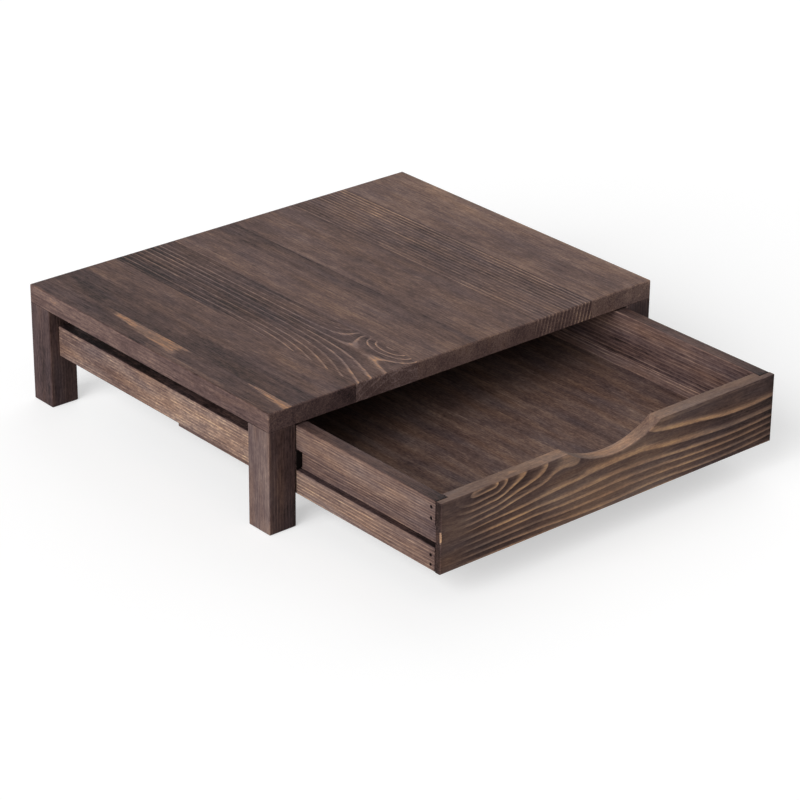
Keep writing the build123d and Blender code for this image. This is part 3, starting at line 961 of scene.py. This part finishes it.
@dataclass
class RunnerScrews(Fasteners):
    """Countersunk wood screws with a rolled thread and a cross recess."""

    slot: str = "fastener_steel"
    head: Head = Head.INWARD
    sides: int = 32
    rows: int = 108  # fine enough for the thread
    fill: int = 12  # and for the recess
    pitch: float = 1.5  # mm
    thread: float = 0.45  # mm that it stands out
    thread_root: float = 0.15  # share of the pitch that is flat to each side of the middle of its valley
    thread_along: tuple[float, float] = (0.06, 0.62)  # shares of the length, from the point
    thread_fade: tuple[float, float] = (0.06, 0.03)  # and over which it comes and goes
    recess_depth: float = 1.3  # mm
    recess_half_width: float = 0.45  # mm
    recess_reach: float = 1.9  # mm from the middle of the head
    recess_flank: float = 1.4  # half widths at which a slot's flank ends
    recess_taper: float = 0.5  # share of the reach from where a slot gets shallower
    head_face: float = 0.9999  # share of the length past which a point is on the head's face
    profile: Profile = ((0.0, 0.2), (0.14, 1.25), (0.62, 1.25), (0.66, 1.65), (0.861, 1.65), (0.985, 3.45),
                        (1.0, 3.45))

    def sizes(self) -> dict[str, float | int]:
        """Add the thread and the recess to the tree's named inputs."""
        return {**super().sizes(), "Thread Pitch": self.pitch * MM, "Thread Height": self.thread * MM,
                "Recess Depth": self.recess_depth * MM, "Recess Half Width": self.recess_half_width * MM,
                "Recess Reach": self.recess_reach * MM}

    def relief(self, point: RodPoint, radius: Socket) -> Socket:
        """Wind the thread up the shank.

        Args:
            point: the rod's point.
            radius: its radius from the profile, in metres.

        Returns:
            The radius on the thread and beside it.
        """
        tree, sizes = point.tree, point.sizes
        climb = add(tree, MATH, point.height, sizes["Thread Pitch"], operation="DIVIDE")
        turn = add(tree, MATH, point.angle, -1 / math.tau, climb, operation="MULTIPLY_ADD")
        ridge = add(tree, MATH, turn, operation="FRACT")
        ridge = add(tree, MATH, ridge, 0.5, operation="SUBTRACT")
        ridge = add(tree, MATH, ridge, operation="ABSOLUTE")
        ridge = add(tree, MAP_RANGE, ridge, self.thread_root, 0.5, 0.0, sizes["Thread Height"])
        (start, stop), (rise, fall) = self.thread_along, self.thread_fade
        up = add(tree, MAP_RANGE, point.share, start, start + rise)
        down = add(tree, MAP_RANGE, point.share, stop - fall, stop, 1.0, 0.0)
        ridge = add(tree, MATH, ridge, up, operation="MULTIPLY")
        return add(tree, MATH, ridge, down, radius, operation="MULTIPLY_ADD")

    def depth(self, point: RodPoint, x: Socket, y: Socket) -> Socket:
        """Press the cross recess into the head.

        Args:
            point: the rod's point.
            x: where it lies across the turned piece, in metres.
            y: the same the other way.

        Returns:
            The height in the recess and beside it.
        """
        tree, sizes = point.tree, point.sizes
        half_width, reach = sizes["Recess Half Width"], sizes["Recess Reach"]
        off_x, off_y = (add(tree, MATH, way, operation="ABSOLUTE") for way in (x, y))
        narrow = add(tree, MATH, off_x, off_y, operation="MINIMUM")
        wide = add(tree, MATH, off_x, off_y, operation="MAXIMUM")
        flank = add(tree, MATH, half_width, self.recess_flank, operation="MULTIPLY")
        taper = add(tree, MATH, reach, self.recess_taper, operation="MULTIPLY")
        slot = add(tree, MAP_RANGE, narrow, half_width, flank, 1.0, 0.0)
        arm = add(tree, MAP_RANGE, wide, taper, reach, 1.0, 0.0)
        top = add(tree, MATH, point.share, self.head_face, operation="GREATER_THAN")
        cut = add(tree, MATH, slot, arm, operation="MULTIPLY")
        cut = add(tree, MATH, cut, top, operation="MULTIPLY")
        cut = add(tree, MATH, cut, sizes["Recess Depth"], operation="MULTIPLY")
        return add(tree, MATH, point.height, cut, operation="SUBTRACT")


@dataclass
class Brads(Fasteners):
    """Thin brads with a small round head and a tapered point."""

    slot: str = "fastener_steel"
    sides: int = 16
    rows: int = 60
    profile: Profile = ((0.0, 0.2), (0.1, 0.7), (0.95, 0.7), (0.97, 0.86), (1.0, 0.86))


# ---------------------------------------------------------------- the studio
@dataclass(frozen=True)
class Camera:
    """The view of the photograph, from the front left and above, through a long lens."""

    azimuth: float = -40.5918  # degrees
    elevation: float = 25.6462
    roll: float = 0.5509
    distance: float = 2.5923  # metres from the aim
    aim: tuple[float, float, float] = (0.0645, 0.083, -0.0241)
    lens: float = 137.13  # mm
    sensor: float = 36.0  # mm
    clip: tuple[float, float] = (0.1, 50.0)  # metres

    def build(self) -> bpy.types.Object:
        """Make the camera and make it the scene's own.

        Returns:
            The camera.
        """
        around, up, turn = (math.radians(angle) for angle in (self.azimuth, self.elevation, self.roll))
        back = Vector((math.sin(around) * math.cos(up), -math.cos(around) * math.cos(up), math.sin(up)))
        side = (-back).cross(Vector((0, 0, 1))).normalized()
        rise = side.cross(-back)
        right = math.cos(turn) * side + math.sin(turn) * rise
        top = -math.sin(turn) * side + math.cos(turn) * rise
        data = bpy.data.cameras.new("camera")
        data.sensor_fit, data.sensor_width, data.lens = "HORIZONTAL", self.sensor, self.lens
        data.clip_start, data.clip_end = self.clip
        camera = bpy.data.objects.new("camera", data)
        place = Vector(self.aim) + self.distance * back
        camera.matrix_world = Matrix.Translation(place) @ Matrix((right, top, back)).transposed().to_4x4()
        bpy.context.scene.collection.objects.link(camera)
        bpy.context.scene.camera = camera
        return camera


@dataclass(frozen=True)
class SoftLamp:
    """A large, far softbox: where its light comes from, how strong it is and how wide it looks."""

    name: str
    towards: tuple[float, float, float]  # from the object to the lamp
    strength: float  # what a white sheet that faces it sends back, 1 being white
    spread: float  # degrees


@dataclass(frozen=True)
class Studio:
    """A pale floor that runs out to white, even light from all round, and a key softbox on the left."""

    surround: float = 0.28  # glow that the object gets from all round, 1 being white
    floor_half: float = 12.0  # metres
    floor_drop: float = 0.0002  # metres below the feet
    paper: tuple[float, float] = (0.42, 0.6)  # how white the floor is for the object and for the eye
    lift: float = 0.5  # what is added for the eye, so that only shadows are darker than white
    tooth: float = 900.0  # a metre: the paper's grain, drawn about 1 mm wide so that it shows
    tooth_dark: float = 0.97  # what it leaves of the white
    lamps: tuple[SoftLamp, ...] = (
        SoftLamp("key", (-0.88, -0.20, 0.43), 1.15, 50.0),
        SoftLamp("fill", (0.70, 0.50, 0.50), 0.22, 60.0))

    def build(self) -> None:
        """Make the world, the lamps and the floor, and set the plain view transform."""
        scene = bpy.context.scene
        scene.view_settings.view_transform = "Standard"
        self.world(scene)
        for lamp in self.lamps:
            data = bpy.data.lights.new(lamp.name, "SUN")
            data.energy, data.angle = lamp.strength * math.pi, math.radians(lamp.spread)
            light = bpy.data.objects.new(lamp.name, data)
            light.rotation_euler = Vector(lamp.towards).to_track_quat("Z", "Y").to_euler()
            scene.collection.objects.link(light)
        self.floor(scene)

    def seen(self, tree: Tree) -> Socket:
        """Tell what the eye sees from what only lights the object.

        Args:
            tree: the tree of the world or of a material.

        Returns:
            1 where the camera looks straight at a surface or sees it mirrored or through glass, or else 0.
        """
        sees = add(tree, "ShaderNodeLightPath", out="Is Camera Ray")
        for kind in ("Is Glossy Ray", "Is Transmission Ray"):
            other = add(tree, "ShaderNodeLightPath", out=kind)
            sees = add(tree, MATH, sees, other, operation="MAXIMUM")
        return sees

    def world(self, scene: bpy.types.Scene) -> None:
        """Make a world that is white for the eye and an even glow for the object.

        Args:
            scene: the scene that gets it.
        """
        world = bpy.data.worlds.new("studio")
        world.use_nodes = True
        tree = world.node_tree
        tree.nodes.clear()
        glow = add(tree, MAP_RANGE, self.seen(tree), 0.0, 1.0, self.surround, 1.0)
        background = add(tree, "ShaderNodeBackground", linear("#ffffff"), glow)
        add(tree, "ShaderNodeOutputWorld", background)
        scene.world = world

    def floor(self, scene: bpy.types.Scene) -> None:
        """Lay a sheet of paper under the object.

        It is matt white paper, rolled flat, with a faint tooth. For the eye it is lifted to pure white, so
        that only the object's shadow shows on it.

        Args:
            scene: the scene that gets it.
        """
        mesh = bmesh.new()
        half = self.floor_half
        corners = ((-half, -half), (half, -half), (half, half), (-half, half))
        mesh.faces.new([mesh.verts.new((x, y, -self.floor_drop)) for x, y in corners])
        data = bpy.data.meshes.new("floor")
        mesh.to_mesh(data)
        mesh.free()
        floor = bpy.data.objects.new("floor", data)
        scene.collection.objects.link(floor)
        material, tree = new_material("white_paper")
        seen = self.seen(tree)
        place = add(tree, "ShaderNodeTexCoord", out="Object")
        tooth = add(tree, "ShaderNodeTexNoise", named={"Vector": place, "Scale": self.tooth, "Detail": 2.0})
        tooth = add(tree, MAP_RANGE, tooth, 0.0, 1.0, self.tooth_dark, 1.0)
        bounce = add(tree, MAP_RANGE, seen, 0.0, 1.0, *self.paper)
        bounce = add(tree, MATH, bounce, tooth, operation="MULTIPLY")
        matt = add(tree, "ShaderNodeBsdfDiffuse", add(tree, "ShaderNodeCombineXYZ", bounce, bounce, bounce))
        lifted = add(tree, MAP_RANGE, seen, 0.0, 1.0, 0.0, self.lift)
        white = add(tree, "ShaderNodeEmission", linear("#ffffff"), lifted)
        add(tree, "ShaderNodeOutputMaterial", add(tree, "ShaderNodeAddShader", matt, white))
        data.materials.append(material)


# ---------------------------------------------------------------- the stand
@dataclass
class Top:
    """The edge-glued top: seven staves out of different logs, each with its own figure."""

    name: str = "top"
    staves: int = 7

    def finishes(self) -> dict[str, StainedPine]:
        """Give the finish of each stave, from the left.

        Returns:
            The finishes by the names of the staves' nodes.
        """
        common = {"laid": Laid.FLAT, "end_tone": 0.08, "smoky_cuts": 0.3, "cool": "#eaecf6", "fibre": 0.095,
                  "mottle": 0.065}
        return {
            "top_stave_1": StainedPine(
                "stained_pine_dark_edge_stave", tone=0.24, ring_width=7.0, line=0.05, seed=1.0,
                edge_tone=0.27, ladder=("#1d1514", "#483734", "#624d46", "#7d6559", "#ab8162", "#d6a67b"),
                streaks=(Streak((90, 188), (4, 23), 0.42, taper=14.0),
                         Streak((150, 262), (1, 6), 0.2, taper=-3.0),
                         Streak((262, 345), (9, 24), 0.48, taper=10.0)), **common),
            "top_stave_2": StainedPine(
                "stained_pine_dark_banded_stave", tone=0.17, ring_width=9.0, line=0.05, seed=2.0,
                streaks=(Streak((-40, 360), (19, 64), 0.18, taper=12.0, ragged=0.1),), **common),
            "top_stave_3": StainedPine(
                "stained_pine_curly_stave", tone=0.25, ring_width=5.4, line=0.37, line_share=0.22, phase=0.45,
                wander=0.9, seed=3.0, slant=0.8, end_lines=0.4, seam=0.03,
                along_lines=((0.0, 1.05), (0.35, 0.9), (0.6, 0.85), (0.8, 1.0), (1.0, 1.0)),
                along_tones=((0.0, -0.07), (0.3, -0.05), (0.5, -0.02), (0.75, 0.04), (1.0, 0.1)),
                ladder=("#1d1514", "#483734", "#624d46", "#836d65", "#ac8769", "#d6a57b"),
                swirls=(Swirl(345, -8, 90, 38, 32), Swirl(284, 67, 42, 18, -42)), **common),
            "top_stave_4": StainedPine(
                "stained_pine_pink_stave", tone=0.37, ring_width=11.0, line=0.06, seam=-0.03, seed=4.0,
                across_tones=((0.0, 0.0), (0.8, 0.0), (0.92, -0.02), (1.0, -0.13)),
                streaks=(Streak((-40, 360), (40, 64), -0.12, soft=2.5, ragged=0.06),), **common),
            "top_stave_5": StainedPine(
                "stained_pine_plain_stave", tone=0.345, ring_width=8.0, line=0.04, seed=5.0,
                streaks=(Streak((60, 210), (0, 6), 0.1),), **common),
            "top_stave_6": StainedPine(
                "stained_pine_fine_ringed_stave", tone=0.3, ring_width=4.0, line=0.34, line_share=0.34,
                wander=0.7, fade=0.3, luck=(0.7, 1.1), seed=6.0, slant=0.25,
                line_tones=((0.0, 0.7), (0.2, 0.9), (0.7, 1.0), (0.95, 1.3), (1.0, 1.3)),
                along_tones=((0.0, 0.0), (0.3, 0.0), (0.5, -0.06), (0.7, 0.0), (1.0, 0.03)),
                streaks=(Streak((110, 345), (2, 9), 0.09),), **common),
            "top_stave_7": StainedPine(
                "stained_pine_light_stave", tone=0.47, ring_width=12.0, line=0.05, lean=0.12, seed=7.0,
                across_tones=((0.0, 0.0), (0.8, 0.0), (1.0, 0.07)), **common),
        }

    def build(self) -> None:
        """Dress the staves; only the outer edges of the whole panel are sanded."""
        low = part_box("top_stave_1")[0]
        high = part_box(f"top_stave_{self.staves}")[1]
        for node, finish in self.finishes().items():
            dress(node, finish.build(*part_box(node), (low, high)))


@dataclass
class Underframe:
    """Four square legs, two side rails between them, and the two strips that the drawer hangs on."""

    name: str = "underframe"
    cool: str = "#e4eeff"
    warm: str = "#fffaf4"
    first_seed: float = 10.0
    end_shade_black: str = "#0b0706"  # painted shade: the runners' cut ends sit in the shade of the groove and are drawn near black

    def finish(self, node: str, seed: float) -> StainedPine | None:
        """Give the finish of one of the frame's boards.

        Args:
            node: the node's name.
            seed: what makes its figure its own.

        Returns:
            The finish, or None where the node is no leg, rail or runner.
        """
        tints = {"cool": self.cool, "warm": self.warm, "seed": seed}
        name = f"stained_pine_{node}"
        side = Laid.LEFT_SIDE if node.endswith("left") else Laid.RIGHT_SIDE
        if node.startswith("leg_") and "dowels" not in node:
            # painted light: the front legs' side faces are drawn much paler than their fronts and than the
            # back legs' sides, for the light from the left that falls off towards the back
            return StainedPine(
                name, Laid.LEG, tone=0.2, ring_width=2.8, line=0.13, wander=1.2, fade=0.8, mottle=0.05,
                fibre=0.06, smoky_cuts=0.15, edge_tone=0.31 if node.startswith("leg_front") else 0.04,
                edge_lines=0.8, across_tones=((0.0, 0.06), (0.3, 0.0), (1.0, -0.04)), **tints)
        if node.startswith("side_rail"):
            # painted shade: edge_tone draws the rails' top and bottom faces dark for the shade under the top,
            # and along_tones darken the rails towards the back, where the light from the left falls off
            return StainedPine(
                name, side, tone=0.61, ring_width=2.6, line=0.24, wander=0.7, run=9.0, fade=0.9,
                edge_tone=-0.4, along_tones=((0.0, -0.14), (0.25, -0.12), (0.6, 0.0), (1.0, 0.0)), **tints)
        if node.startswith("runner") and "screws" not in node:
            # painted shade: end_tone sinks the runners' cut ends to the near-black first step of the ladder,
            # for the shade in the groove
            return StainedPine(
                name, side, tone=0.3, ring_width=3.0, line=0.08, end_tone=-0.6,
                ladder=(self.end_shade_black, *StainedPine.ladder[1:]), **tints)
        return None

    def build(self) -> None:
        """Dress the legs, the rails and the runners, each with a seed of its own."""
        seed = self.first_seed
        for node in sorted(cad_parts):
            finish = self.finish(node, seed)
            if finish:
                dress(node, finish.build(*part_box(node)))
                seed += 1.0


# ---------------------------------------------------------------- the drawer
@dataclass(frozen=True)
class SideLook:
    """What sets one side of the drawer apart from the other."""

    name: str
    laid: Laid
    upper_tone: float
    lower_tone: float
    ring_width: float  # mm, of the upper board
    line: float  # how far its late wood lines rise on the ladder


@dataclass
class Drawer:
    """Front with the scoop, two-board sides with the runner groove, back and bottom panel."""

    name: str = "drawer"
    cool: str = "#e4eeff"
    warm: str = "#fffaf4"
    edge_tone: float = 0.2  # place on the ladder of the upper boards' top edges
    hole: float = 1.5  # half the width in mm of the dark round a brad: pooled stain and painted shade of its hole
    hole_depth: float = 2.0  # mm that it reaches into the board
    hole_shade_tone: float = -0.5  # step on the ladder there, painted shade included
    sides: tuple[SideLook, ...] = (
        SideLook("left", Laid.LEFT_SIDE, 0.36, 0.4, 2.3, 0.25),
        SideLook("right", Laid.RIGHT_SIDE, 0.18, 0.2, 3.4, 0.26))

    def build(self) -> None:
        """Dress the drawer's boards."""
        dress("drawer_front", self.front().build(*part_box("drawer_front")))
        back = StainedPine(
            "stained_pine_drawer_back", Laid.ACROSS, tone=0.4, ring_width=4.0, line=0.15, seed=31.0)
        dress("drawer_back", back.build(*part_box("drawer_back")))
        for look in self.sides:
            self.dress_side(look)
        # plywood, faced with veneer that was peeled off a log, so its lines lie far apart and wander
        panel = StainedPine(
            "stained_plywood_bottom", Laid.FLAT, tone=0.4, ring_width=14.0, line=0.1, wander=6.0, seed=36.0)
        dress("drawer_bottom", panel.build(*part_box("drawer_bottom")))

    def figure(self) -> Cathedral:
        """Lay out the front's cathedral: loops at its left, and lines that run on below and to the right.

        Returns:
            The figure, with places in mm from the front's left end and its top edge.
        """
        return Cathedral(
            pith_across=((0, 3.5), (25, 3.2), (55, 1.0), (112, 1.0), (132, 5.0), (150, 9.0), (190, 9.0),
                         (204, 4.0), (213, 0.7), (225, 3.4), (240, 5.2), (265, 7.2), (290, 10.7), (320, 12.2),
                         (346, 10.5)),
            pith_depth=((0, 13), (12, 9), (25, 4), (38, 1), (50, 1), (58, 5), (70, 10.5), (85, 14), (95, 16),
                        (100, 17.2), (107, 19.7), (112, 21.3), (120, 22.5), (134, 23.2), (150, 26.5),
                        (346, 26.5)),
            lines=((((0, -20), (200, -20), (206, 5), (213, 9.2), (225, 11.9), (240, 13.7), (265, 15.7),
                     (290, 19.2), (320, 20.7), (346, 19)), 0.7),
                   (((0, 32.5), (22, 32), (45, 30.5), (80, 29.3), (100, 27.6), (117, 26.4), (145, 25),
                     (170, 24), (200, 23.6), (215, 24.6), (235, 27), (265, 29.2), (300, 30.8),
                     (346, 29.4)), 1.0),
                   (((0, 38), (50, 37), (80, 35.5), (95, 34.7), (115, 35), (150, 34), (174, 32.8),
                     (210, 33.6), (250, 36), (300, 37.8), (346, 36)), 1.0),
                   (((0, 52.8), (90, 52.7), (150, 54.9), (215, 53.2), (290, 55), (346, 52)), 3.0),
                   (((0, 63.0), (346, 65.0)), 2.0)))

    def front(self) -> StainedPine:
        """Give the front's finish: bold lines, darker towards both ends, with a splinter out of an edge.

        Returns:
            The finish.
        """
        return StainedPine(
            "stained_pine_drawer_front", Laid.ACROSS, tone=0.45, ring_width=5.4, line=0.4, line_share=0.36,
            wander=0.8, ladder=("#1f1310", "#483733", "#624d45", "#7d6557", "#a27f67", "#cda47c"),
            fade=0.3, slant=0.9, seed=30.0, luck=(0.75, 1.05), fibre=0.06, mottle=0.05,
            streaks=(Streak((216, 272), (0.8, 3.0), 0.16, soft=1.0),
                     Streak((262, 332), (0.3, 2.0), 0.16, soft=0.8)),
            line_tones=((0.0, 1.0), (0.54, 1.0), (0.62, 0.86), (1.0, 0.86)),
            along_lines=((0.0, 0.05), (0.05, 0.3), (0.08, 1.0), (0.13, 1.5), (0.2, 1.6), (0.32, 1.1),
                         (0.45, 1.0), (0.6, 1.05), (0.72, 1.45), (0.95, 1.5), (1.0, 0.9)),
            along_tones=((0.0, -0.28), (0.012, -0.07), (0.05, -0.08), (0.1, -0.14), (0.22, -0.09),
                         (0.33, 0.04), (0.45, 0.1), (0.62, 0.08), (0.75, -0.03), (0.85, -0.13),
                         (0.94, -0.15), (0.97, -0.2), (1.0, -0.32)),
            edge_tone=0.24, edge_from=(0.87, 0.985), edge_lines=0.15,
            chips=(Chip((0.2, 27.5, 0.4), (0.9, 5.5, 1.3)),), cathedral=self.figure())

    def dress_side(self, look: SideLook) -> None:
        """Dress the two boards of one side.

        Args:
            look: which side, and what sets it apart.
        """
        upper, lower = (f"drawer_side_{part}_{look.name}" for part in ("upper", "lower"))
        # painted shade: along_tones darken the last 2% of each side board at its front end, for the shade in
        # the joint against the front's lip
        common = {"laid": look.laid, "mottle": 0.05, "cool": self.cool, "warm": self.warm,
                  "along_tones": ((0.0, 0.0), (0.98, 0.0), (1.0, -0.2))}
        finish = StainedPine(
            f"stained_pine_upper_side_{look.name}", tone=look.upper_tone, ring_width=look.ring_width,
            line=look.line, seed=32.0, edge_tone=self.edge_tone - look.upper_tone,
            # painted shade: the lower part of the upper board, the recess under the groove's overhang, is
            # drawn darker
            across_tones=((0.0, 0.0), (0.5, 0.0), (0.56, -0.05), (1.0, -0.06)),
            chips=self.hole_shades(upper), **common)
        dress(upper, finish.build(*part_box(upper)))
        finish = StainedPine(
            f"stained_pine_lower_side_{look.name}", tone=look.lower_tone, ring_width=2.8, line=0.28,
            # painted shade: edge_tone draws the lower board's top and bottom faces dark, the top being the
            # ledge in the shade under the groove
            seed=33.0, edge_tone=-0.35, chips=self.hole_shades(lower), **common)
        dress(lower, finish.build(*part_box(lower)))

    def hole_shades(self, board: str) -> tuple[Chip, ...]:
        """Find the holes of the brads that go into the front, each darkened by pooled stain and painted
        shade.

        Args:
            board: the side board's node.

        Returns:
            A dark patch for each brad in it.
        """
        low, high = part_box(board)
        half = (self.hole, self.hole, self.hole_depth)
        return tuple(
            Chip(((high.y - hole.y) / MM, (high.z - hole.z) / MM, 0.0), half, self.hole_shade_tone)
            for hole, _ in Brads("front_brads", "drawer").spots()[0] if low.z < hole.z < high.z)


def main() -> None:
    """Build the studio and the sub-assemblies in order, and report each."""
    logging.basicConfig(level=logging.INFO, format="%(name)s: %(message)s")
    Camera().build()
    Studio().build()
    for assembly in (Top(), Underframe(), Drawer()):
        assembly.build()
        LOG.info("%s is done", assembly.name)
    beech, steel = TurnedBeech().build(), DrawnSteel().build()
    # the brads were in the boards when the stain went on, and they sit in the shade of their holes, so they
    # are drawn as dark as the wood: stain and painted shade
    shaded_stained_steel = DrawnSteel("drawn_steel_stained_and_shaded", bright="#5f5047", dull="#2c231f").build()
    FlutedDowels("leg_dowels", "stand", radius=4.0).build(beech)
    FlutedDowels("rail_dowels", "stand", radius=3.0).build(beech)
    RunnerScrews("runner_screws", "stand").build(steel)
    for node in ("front_brads", "back_brads", "panel_brads"):
        Brads(node, "drawer").build(shaded_stained_steel)


if __name__ == "__main__":
    main()
